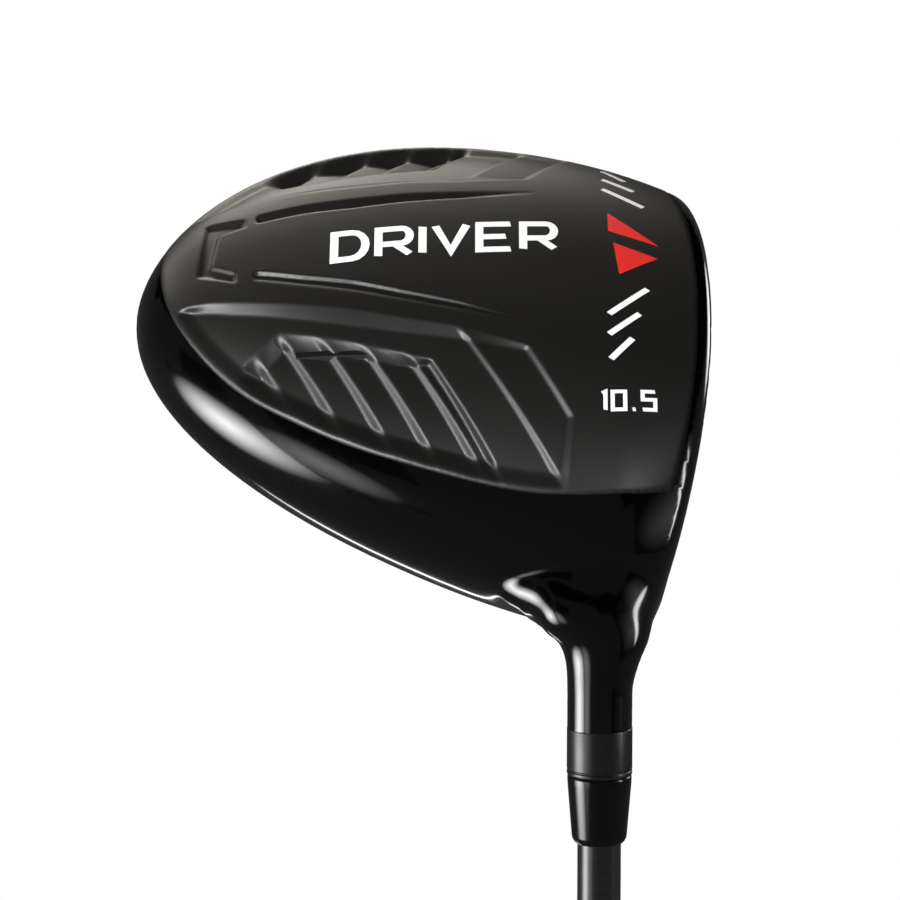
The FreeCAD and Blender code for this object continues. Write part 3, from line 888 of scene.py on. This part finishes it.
FINISHES = {
    "body_gloss_black": dict(colour=(0.0035, 0.0035, 0.0038), roughness=0.16, coat=1.0, coat_roughness=0.035,
                             grain=(260.0, 0.02), bump=0.012),
    "sole_matte_black": dict(colour=(0.0060, 0.0056, 0.0051), roughness=0.42, specular=0.45,
                             grain=(5200.0, 0.06), bump=0.10, wear=0.25, second=(0.05, 0.047, 0.043)),
    "face_dark_satin": dict(colour=(0.028, 0.028, 0.03), roughness=0.34, metallic=0.7, grain=(1500.0, 0.05),
                            bump=0.08),
    "ring_satin_grey": dict(colour=(0.075, 0.075, 0.078), roughness=0.34, metallic=0.8, bump=0.12,
                            pattern="turned_lines", pattern_scale=5200.0, coat=0.25, coat_roughness=0.2),
    "ferrule_black": dict(colour=(0.004, 0.004, 0.0042), roughness=0.2, coat=0.7, coat_roughness=0.09,
                          grain=(500.0, 0.05), bump=0.02),
    "shaft_graphite": dict(colour=(0.022, 0.023, 0.025), roughness=0.33, coat=0.8, coat_roughness=0.14,
                           bump=0.01, pattern="wound_weave", pattern_scale=1400.0,
                           second=(0.030, 0.031, 0.034)),
    "bond_epoxy": dict(colour=(0.35, 0.30, 0.18), roughness=0.35, bump=0.02),
    "weight_steel": dict(colour=(0.42, 0.42, 0.43), roughness=0.3, metallic=1.0, bump=0.05),
    "tip_brass": dict(colour=(0.62, 0.44, 0.18), roughness=0.3, metallic=1.0, bump=0.05),
    "bare_casting": dict(colour=(0.32, 0.32, 0.33), roughness=0.5, metallic=0.9, grain=(2500.0, 0.1),
                         bump=0.3),
    "hot_melt": dict(colour=(0.55, 0.50, 0.38), roughness=0.4, bump=0.03),
    "paint_white": dict(colour=(0.86, 0.86, 0.85), roughness=0.42, grain=(3000.0, 0.05), bump=0.04),
    "paint_red": dict(colour=(0.66, 0.022, 0.018), roughness=0.4, grain=(3000.0, 0.05), bump=0.04),
    "grip_rubber": dict(colour=(0.012, 0.012, 0.012), roughness=0.72, specular=0.35, grain=(3600.0, 0.1),
                        bump=0.35, wear=0.3, second=(0.03, 0.03, 0.03)),
    "grip_tape": dict(colour=(0.55, 0.52, 0.45), roughness=0.75, grain=(1800.0, 0.1), bump=0.3),
}
MATERIALS = {}


def paint(obj, slot):
    obj.data.materials.clear()
    obj.data.materials.append(MATERIALS[slot])


# ---- sizes and colours a user may change
def pitch_property(label, of_what, default, low, high):
    about = f"Face size of {of_what}, in millimetres"
    return bpy.props.FloatProperty(name=label, description=about, default=default, min=low, max=high)


def colour_property(label, of_what, default):
    about = f"Colour of {of_what}"
    return bpy.props.FloatVectorProperty(name=label, description=about, subtype="COLOR", size=3,
                                         default=default, min=0.0, max=1.0)


class DriverSizes(bpy.types.PropertyGroup):
    skin_pitch: pitch_property("Skin pitch", "the painted skin", 1.25, 0.8, 3.0)
    panel_pitch: pitch_property("Panel pitch", "the sole panel", 0.46, 0.3, 2.0)
    plate_pitch: pitch_property("Face pitch", "the face plate", 0.5, 0.3, 2.0)
    wall: bpy.props.FloatProperty(name="Panel rim", description="Height of the sole panel's rim",
                                  default=1.2 * MM, unit="LENGTH", subtype="DISTANCE")
    turns: bpy.props.IntProperty(name="Turned sides", description="Sides of the turned pieces", default=96,
                                 min=24)


class DriverColours(bpy.types.PropertyGroup):
    white: colour_property("White paint", "the word, number and bars", (0.86, 0.86, 0.85))
    red: colour_property("Red paint", "the emblem", (0.66, 0.022, 0.018))
    floor: colour_property("Floor", "the studio floor", (0.82, 0.82, 0.82))


def sizes():
    return bpy.context.scene.driver_sizes


# ---- operators
class DRIVER_OT_finishes(bpy.types.Operator):
    """Make every finish and give the carried-over engineering nodes theirs"""
    bl_idname = "driver.finishes"
    bl_label = "Finishes"

    def execute(self, context):
        GROUPS.update(paint_grain=paint_grain_group(), turned_lines=turned_lines_group(),
                      wound_weave=weave_group(), rubbed_edges=edge_wear_group())
        FINISHES["paint_white"]["colour"] = tuple(context.scene.driver_colours.white)
        FINISHES["paint_red"]["colour"] = tuple(context.scene.driver_colours.red)
        for name, values in FINISHES.items():
            MATERIALS[name] = finish_material(name, **values)
        for row in frame["record"]["subparts"]:
            paint(frame["nodes"][row["node"]], row["material_slot"])
        return {"FINISHED"}


class DRIVER_OT_head_body(bpy.types.Operator):
    """Draw the painted skin of body, crown and hosel"""
    bl_idname = "driver.head_body"
    bl_label = "Painted head"

    def execute(self, context):
        new_piece("head_body", head_skin(sizes().skin_pitch), "body_gloss_black",
                  ("skirt_shell", "crown_shell", "hosel_knuckle", "hosel_tube"), smooth=False)
        return {"FINISHED"}


def slant(y):
    """How far the panel's grid follows the slant of the ribs at Y, turned over smoothly at the middle."""
    reach = 22.0
    fold = np.clip((RELIEF_MID_Y - np.abs(y - RELIEF_MID_Y)), None, RELIEF_MID_Y)
    turned = RELIEF_MID_Y - reach / 2.0 - (RELIEF_MID_Y - fold) ** 2 / (2.0 * reach)
    return RIB_SLANT * np.where(fold > RELIEF_MID_Y - reach, turned, fold)


class DRIVER_OT_sole_panel(bpy.types.Operator):
    """Mould the sole panel with its pockets, ribs, channels and bracket"""
    bl_idname = "driver.sole_panel"
    bl_label = "Sole panel"

    def execute(self, context):
        pitch = sizes().panel_pitch
        us, vs = np.arange(-97.0, 75.0, pitch), np.arange(-10.0, 103.0, pitch)
        mesh = fitted_grid("sole_panel_finish", us, vs, lambda u, v: (u - slant(v), v), panel_inside,
                           panel_surface, sizes().wall / MM, (0.0, 0.0, 1.0))
        new_piece("sole_panel_finish", mesh, "sole_matte_black", ("sole_panel",))
        return {"FINISHED"}


class DRIVER_OT_face(bpy.types.Operator):
    """Lay the face plate with its score lines"""
    bl_idname = "driver.face"
    bl_label = "Face plate"

    def execute(self, context):
        pitch = sizes().plate_pitch
        us, vs = np.arange(-18.0, 112.0, 2.0 * pitch), np.arange(-40.0, 40.0, pitch)
        mesh = fitted_grid("face_plate_finish", us, vs, lambda u, v: (u, v), face_inside, face_surface, 1.0,
                           FACE_NORMAL)
        new_piece("face_plate_finish", mesh, "face_dark_satin", ("face_plate",))
        return {"FINISHED"}


class DRIVER_OT_marks(bpy.types.Operator):
    """Lay the painted word, number, bars and emblem"""
    bl_idname = "driver.marks"
    bl_label = "Marks"

    def execute(self, context):
        word = letter_paths("DRIVER", (-54.6, 45.6), 8.6, 6.6, 2.7)
        number = letter_paths("10.5", (0.4, 8.8), 4.4, 2.6, 1.5)
        bars = [list(bar) for bar in BARS]
        for name, paths, width, outlines, slot, node in (
                ("club_word_fill", word, 1.7, (), "paint_white", "club_word"),
                ("loft_number_fill", number, 0.85, (), "paint_white", "loft_number"),
                ("bars_fill", bars, 1.3, (), "paint_white", "white_bars"),
                ("emblem_fill", [], 1.0, EMBLEM, "paint_red", "red_emblem")):
            new_piece(name, fill_mesh(name, paths, width, outlines), slot, (node,), smooth=False)
        return {"FINISHED"}


RING_R, RING_GROOVE = 6.68, 0.14
TRIM_BORE = 4.5             # bore of the ring and the ferrule
SHAFT_TIP_R, TAPER_END = 4.45, 940.0
BUTT_BORE, TIP_BORE = 6.8, 2.9
GRIP_R, GRIP_MOUTH_R, GRIP_BORE = 13.35, 8.55, 8.3
GROOVE_PITCH, GROOVE_TURN = 0.30, 1.2732    # of the crossed grooves: per millimetre and per radian


def turned_piece(name, profile, slot, node):
    new_piece(name, spun(name, profile, sizes().turns), slot, (node,))


class DRIVER_OT_hosel_trim(bpy.types.Operator):
    """Turn the trim ring and the ferrule"""
    bl_idname = "driver.hosel_trim"
    bl_label = "Ring and ferrule"

    def execute(self, context):
        ring_end, ring_foot = node_span("trim_ring")
        groove = [(RING_R, ring_end + 0.9), (RING_R - RING_GROOVE, ring_end + 1.05),
                  (RING_R - RING_GROOVE, ring_end + 1.25), (RING_R, ring_end + 1.4)]
        profile = [(TRIM_BORE, ring_end), (RING_R - 0.25, ring_end), (RING_R, ring_end + 0.3), *groove,
                   (RING_R, ring_foot - 0.3), (RING_R - 0.3, ring_foot), (TRIM_BORE, ring_foot)]
        turned_piece("trim_ring_finish", rounded(profile, 0.12), "ring_satin_grey", "trim_ring")
        end, foot = node_span("ferrule")
        profile = [(TRIM_BORE, foot), (6.58, foot), (6.54, foot - 1.5), (5.6, end + 1.2), (5.1, end + 0.35),
                   (4.66, end), (TRIM_BORE, end)]
        turned_piece("ferrule_finish", rounded(profile, 0.5, 5), "ferrule_black", "ferrule")
        return {"FINISHED"}


class DRIVER_OT_shaft(bpy.types.Operator):
    """Turn the tapered shaft"""
    bl_idname = "driver.shaft"
    bl_label = "Shaft"

    def execute(self, context):
        foot, tip = node_span("shaft")
        butt_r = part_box("shaft")[1].x / MM
        step = (SHAFT_TIP_R - butt_r) / (TAPER_END - foot)
        taper = [(butt_r + step * (z - foot), z) for z in np.linspace(foot, TAPER_END, 40)]
        taper[0] = (butt_r, foot + 0.2)
        straight = [(SHAFT_TIP_R, z) for z in np.linspace(TAPER_END + 20.0, tip, 8)]
        profile = [(BUTT_BORE, foot), (butt_r - 0.2, foot), *taper, *straight, (TIP_BORE, tip),
                   (TIP_BORE, TAPER_END), (BUTT_BORE, foot)]
        turned_piece("shaft_finish", profile, "shaft_graphite", "shaft")
        return {"FINISHED"}


class DRIVER_OT_grip(bpy.types.Operator):
    """Turn the grip sleeve, press its grooves and add the end cap"""
    bl_idname = "driver.grip"
    bl_label = "Grip"

    def execute(self, context):
        foot, mouth = node_span("grip_sleeve")
        outline = [(GRIP_R, foot), (GRIP_R, 9.0), (12.4, 20.0), (10.4, 140.0), (8.9, mouth - 3.0),
                   (GRIP_MOUTH_R, mouth)]
        zs = np.arange(foot, mouth, 0.75)
        radii = np.interp(zs, [z for _, z in outline], [r for r, _ in outline])
        profile = list(zip(radii, zs)) + [(GRIP_BORE, mouth), (7.2, mouth)]
        mesh = spun("grip_sleeve_finish", profile, 144)
        points = np.zeros(len(mesh.vertices) * 3)
        mesh.vertices.foreach_get("co", points)
        points = points.reshape(-1, 3)
        r, z = np.hypot(points[:, 0], points[:, 1]) / MM, points[:, 2] / MM
        turn = np.arctan2(points[:, 1], points[:, 0])
        rows = np.abs(((z * GROOVE_PITCH + turn * GROOVE_TURN) % 1.0) - 0.5)
        cross = np.abs(((z * GROOVE_PITCH - turn * GROOVE_TURN) % 1.0) - 0.5)
        bands = soft((z - 26.0) / 4.0) * soft((mouth - 16.0 - z) / 4.0)
        plain = np.abs(np.sin(turn * 2.0)) < 0.25
        depth = 0.28 * np.clip(1.0 - np.minimum(rows, cross) / 0.12, 0.0, 1.0) * bands * ~plain
        rings = 0.3 * (np.abs(np.abs(z - 16.0) - 3.0) < 0.6) + 0.3 * (np.abs(z - mouth + 9.0) < 0.6)
        outer = r > 8.4
        scale = 1.0 - np.where(outer, (depth + rings) / np.maximum(r, 1.0), 0.0)
        points[:, :2] *= scale[:, None]
        mesh.vertices.foreach_set("co", points.ravel())
        mesh.update()
        new_piece("grip_sleeve_finish", mesh, "grip_rubber", ("grip_sleeve",))
        foot, top = node_span("grip_cap")
        profile = [(1.5, top - 0.4), (1.5, foot + 0.3), (1.9, foot), (12.4, foot), (GRIP_R, foot + 1.0),
                   (GRIP_R, top), (8.6, top), (8.6, top - 0.4), (1.5, top - 0.4)]
        turned_piece("grip_cap_finish", rounded(profile, 0.3), "grip_rubber", "grip_cap")
        return {"FINISHED"}


# ---- stage
VIEW_TURN = math.radians(-1.28)     # the main camera's azimuth and elevation
VIEW_TILT = math.radians(9.85)
VIEW_DISTANCE = 1.2
LENS = 238.3
FLOOR_RADIUS = 3.2
ROOM_DIM = 0.045
VIEW_BACK = Vector((math.sin(VIEW_TURN) * math.cos(VIEW_TILT), -math.cos(VIEW_TURN) * math.cos(VIEW_TILT),
                    math.sin(VIEW_TILT)))
VIEW_RIGHT = Vector((math.cos(VIEW_TURN), math.sin(VIEW_TURN), 0.0))
VIEW_UP = VIEW_BACK.cross(VIEW_RIGHT)
AIM = Vector((0.0, 0.0, GROUND_Z * MM)) - VIEW_RIGHT * 0.03041 - VIEW_UP * 0.00765
HEAD_MIDDLE = Vector((-0.036, 0.06, GROUND_Z * MM))

WHITE = (1.0, 1.0, 1.0)

# light cards: name, direction from the head as (right, up, back) seen from the camera, distance, width,
# height, strength, tint, how fast it fades to its edge (0 is even), and which finishes it lights
CARDS = [
    ("card_heel", (-0.89, -0.37, 0.25), 0.70, 0.68, 0.54, 12.0, WHITE, 1.2, "gloss"),
    ("card_skirt", (-0.64, -0.38, 0.66), 0.72, 0.34, 0.40, 1.8, WHITE, 0.8, "gloss"),
    ("card_neck", (0.965, 0.10, 0.22), 0.88, 0.16, 0.72, 9.0, WHITE, 0.35, "gloss"),
    ("card_side", (0.90, 0.0, 0.43), 0.90, 0.80, 0.80, 0.4, WHITE, 1.4, "gloss"),
    ("card_rim", (0.72, 0.36, -0.58), 0.90, 0.36, 0.40, 5.0, WHITE, 0.3, "gloss"),
    ("card_low", (-0.20, -0.55, -0.80), 0.90, 0.60, 0.06, 6.0, WHITE, 0.3, "gloss"),
    ("card_key", (-0.50, 0.10, 0.85), 0.90, 0.40, 0.42, 72.0, WHITE, 0.6, "matte"),
    ("card_left", (-0.91, 0.15, 0.38), 0.90, 0.34, 0.40, 30.0, WHITE, 0.6, "matte"),
    ("card_front", (0.53, 0.46, 0.71), 0.90, 0.36, 0.28, 17.0, WHITE, 0.8, "matte"),
    ("card_back", (-0.15, 0.74, -0.66), 1.00, 0.70, 0.26, 14.0, (1.0, 0.94, 0.84), 0.6, "matte"),
    ("card_rear", (-0.60, 0.66, -0.45), 1.00, 0.30, 0.30, 9.0, (1.0, 0.93, 0.84), 0.8, "matte"),
    ("card_sky", (0.0, 1.0, 0.0), 3.00, 7.00, 7.00, 2.3, WHITE, 0.0, "floor"),
]
# the pieces with a matte finish, which the cards marked matte light
MATTE_PIECES = ("sole_panel_finish", "club_word_fill", "loft_number_fill", "bars_fill", "emblem_fill")


def card_glow(name, strength, tint, fade):
    """Light that is brightest in the card's middle and fades to its edge."""
    material = bpy.data.materials.new(name)
    material.use_nodes = True
    tree = material.node_tree
    tree.nodes.remove(tree.nodes["Principled BSDF"])
    glow = tree.nodes.new("ShaderNodeEmission")
    glow.inputs["Color"].default_value = (*tint, 1.0)
    where = tree.nodes.new("ShaderNodeUVMap")
    centred = tree.nodes.new("ShaderNodeVectorMath")
    centred.operation = "LENGTH"
    tree.links.new(where.outputs["UV"], centred.inputs[0])
    inner = math_node(tree, "MAXIMUM", math_node(tree, "SUBTRACT", 1.0, centred.outputs["Value"]), 0.0)
    power = math_node(tree, "POWER", inner, max(fade, 0.001))
    tree.links.new(math_node(tree, "MULTIPLY", power, strength), glow.inputs["Strength"])
    tree.links.new(glow.outputs[0], tree.nodes["Material Output"].inputs["Surface"])
    return material


def light_card(name, way, distance, width, height, strength, tint, fade, group):
    """One soft card that faces the head, unseen by the camera, for one group of finishes."""
    direction = (VIEW_RIGHT * way[0] + VIEW_UP * way[1] + VIEW_BACK * way[2]).normalized()
    turn = direction.to_track_quat("Z", "Y").to_matrix()
    centre = HEAD_MIDDLE + direction * distance
    bm = bmesh.new()
    bmesh.ops.create_grid(bm, x_segments=1, y_segments=1, size=1.0)
    layer = bm.loops.layers.uv.new("UVMap")
    for face in bm.faces:
        for loop in face.loops:
            loop[layer].uv = (loop.vert.co.x, loop.vert.co.y) if fade else (0.0, 0.0)
    for vert in bm.verts:
        vert.co = centre + turn @ Vector((vert.co.x * width / 2.0, vert.co.y * height / 2.0, 0.0))
    card = bpy.data.objects.new(name, mesh_from(bm, name))
    bpy.context.scene.collection.objects.link(card)
    card.data.materials.append(card_glow(name, strength, tint, fade))
    card.visible_camera = False
    card.visible_shadow = False
    card.light_linking.receiver_collection = bpy.data.collections[group]
    card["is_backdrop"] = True


def light_groups():
    """The soft cards of the studio are set for the matte sole, the gloss pieces and the floor apart."""
    for group in ("matte", "gloss", "floor"):
        bpy.data.collections.new(group)
    bpy.data.collections["floor"].objects.link(bpy.data.objects["floor"])
    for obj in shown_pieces():
        bpy.data.collections["matte" if obj.name in MATTE_PIECES else "gloss"].objects.link(obj)


def studio_world():
    """White behind the object for the camera, and a dim even room for what it reflects."""
    world = bpy.data.worlds.new("studio")
    world.use_nodes = True
    bpy.context.scene.world = world
    tree = world.node_tree
    back = tree.nodes["Background"]
    back.inputs["Color"].default_value = (1, 1, 1, 1)
    back.inputs["Strength"].default_value = 1.0
    dim = tree.nodes.new("ShaderNodeBackground")
    dim.inputs["Color"].default_value = (1, 1, 1, 1)
    dim.inputs["Strength"].default_value = ROOM_DIM
    path = tree.nodes.new("ShaderNodeLightPath")
    mix = tree.nodes.new("ShaderNodeMixShader")
    tree.links.new(path.outputs["Is Camera Ray"], mix.inputs["Fac"])
    tree.links.new(dim.outputs[0], mix.inputs[1])
    tree.links.new(back.outputs[0], mix.inputs[2])
    tree.links.new(mix.outputs[0], tree.nodes["World Output"].inputs["Surface"])


class DRIVER_OT_stage(bpy.types.Operator):
    """Set the pale floor, the softboxes, the room and the camera"""
    bl_idname = "driver.stage"
    bl_label = "Studio"

    def execute(self, context):
        bm = bmesh.new()
        bmesh.ops.create_circle(bm, cap_ends=True, segments=96, radius=FLOOR_RADIUS)
        bmesh.ops.recalc_face_normals(bm, faces=bm.faces)
        mesh = mesh_from(bm, "floor")
        floor = bpy.data.objects.new("floor", mesh)
        context.scene.collection.objects.link(floor)
        floor.visible_glossy = False
        floor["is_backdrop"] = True
        material = finish_material("floor_pale", tuple(context.scene.driver_colours.floor), 0.6,
                                   grain=(30.0, 0.05), bump=0.01)
        mesh.materials.append(material)
        light_groups()
        for values in CARDS:
            light_card(*values)
        studio_world()
        camera = bpy.data.cameras.new("camera")
        camera.sensor_width = 36.0
        camera.lens = LENS
        camera.clip_start, camera.clip_end = 0.05, 100.0
        holder = bpy.data.objects.new("camera", camera)
        context.scene.collection.objects.link(holder)
        holder.location = Vector((0.0, 0.0, GROUND_Z * MM)) + VIEW_BACK * VIEW_DISTANCE
        holder.rotation_mode = "QUATERNION"
        holder.rotation_quaternion = (holder.location - AIM).to_track_quat("Z", "Y")
        context.scene.camera = holder
        context.scene.view_settings.view_transform = "Standard"
        return {"FINISHED"}


class DRIVER_PT_panel(bpy.types.Panel):
    bl_idname = "DRIVER_PT_panel"
    bl_label = "Golf driver"
    bl_space_type = "VIEW_3D"
    bl_region_type = "UI"
    bl_category = "Driver"

    def draw(self, context):
        for group in (context.scene.driver_sizes, context.scene.driver_colours):
            for label in group.__annotations__:
                self.layout.prop(group, label)
        for operator in OPERATORS:
            self.layout.operator(operator.bl_idname)


OPERATORS = (DRIVER_OT_finishes, DRIVER_OT_head_body, DRIVER_OT_sole_panel, DRIVER_OT_face, DRIVER_OT_marks,
             DRIVER_OT_hosel_trim, DRIVER_OT_shaft, DRIVER_OT_grip, DRIVER_OT_stage)
CLASSES = (DriverSizes, DriverColours, *OPERATORS, DRIVER_PT_panel)


def register():
    for cls in CLASSES:
        bpy.utils.register_class(cls)
    bpy.types.Scene.driver_sizes = bpy.props.PointerProperty(type=DriverSizes)
    bpy.types.Scene.driver_colours = bpy.props.PointerProperty(type=DriverColours)


def unregister():
    del bpy.types.Scene.driver_colours
    del bpy.types.Scene.driver_sizes
    for cls in reversed(CLASSES):
        bpy.utils.unregister_class(cls)


def main():
    register()
    for operator in OPERATORS:
        family, name = operator.bl_idname.split(".")
        getattr(getattr(bpy.ops, family), name)()


if __name__ == "__main__":
    main()
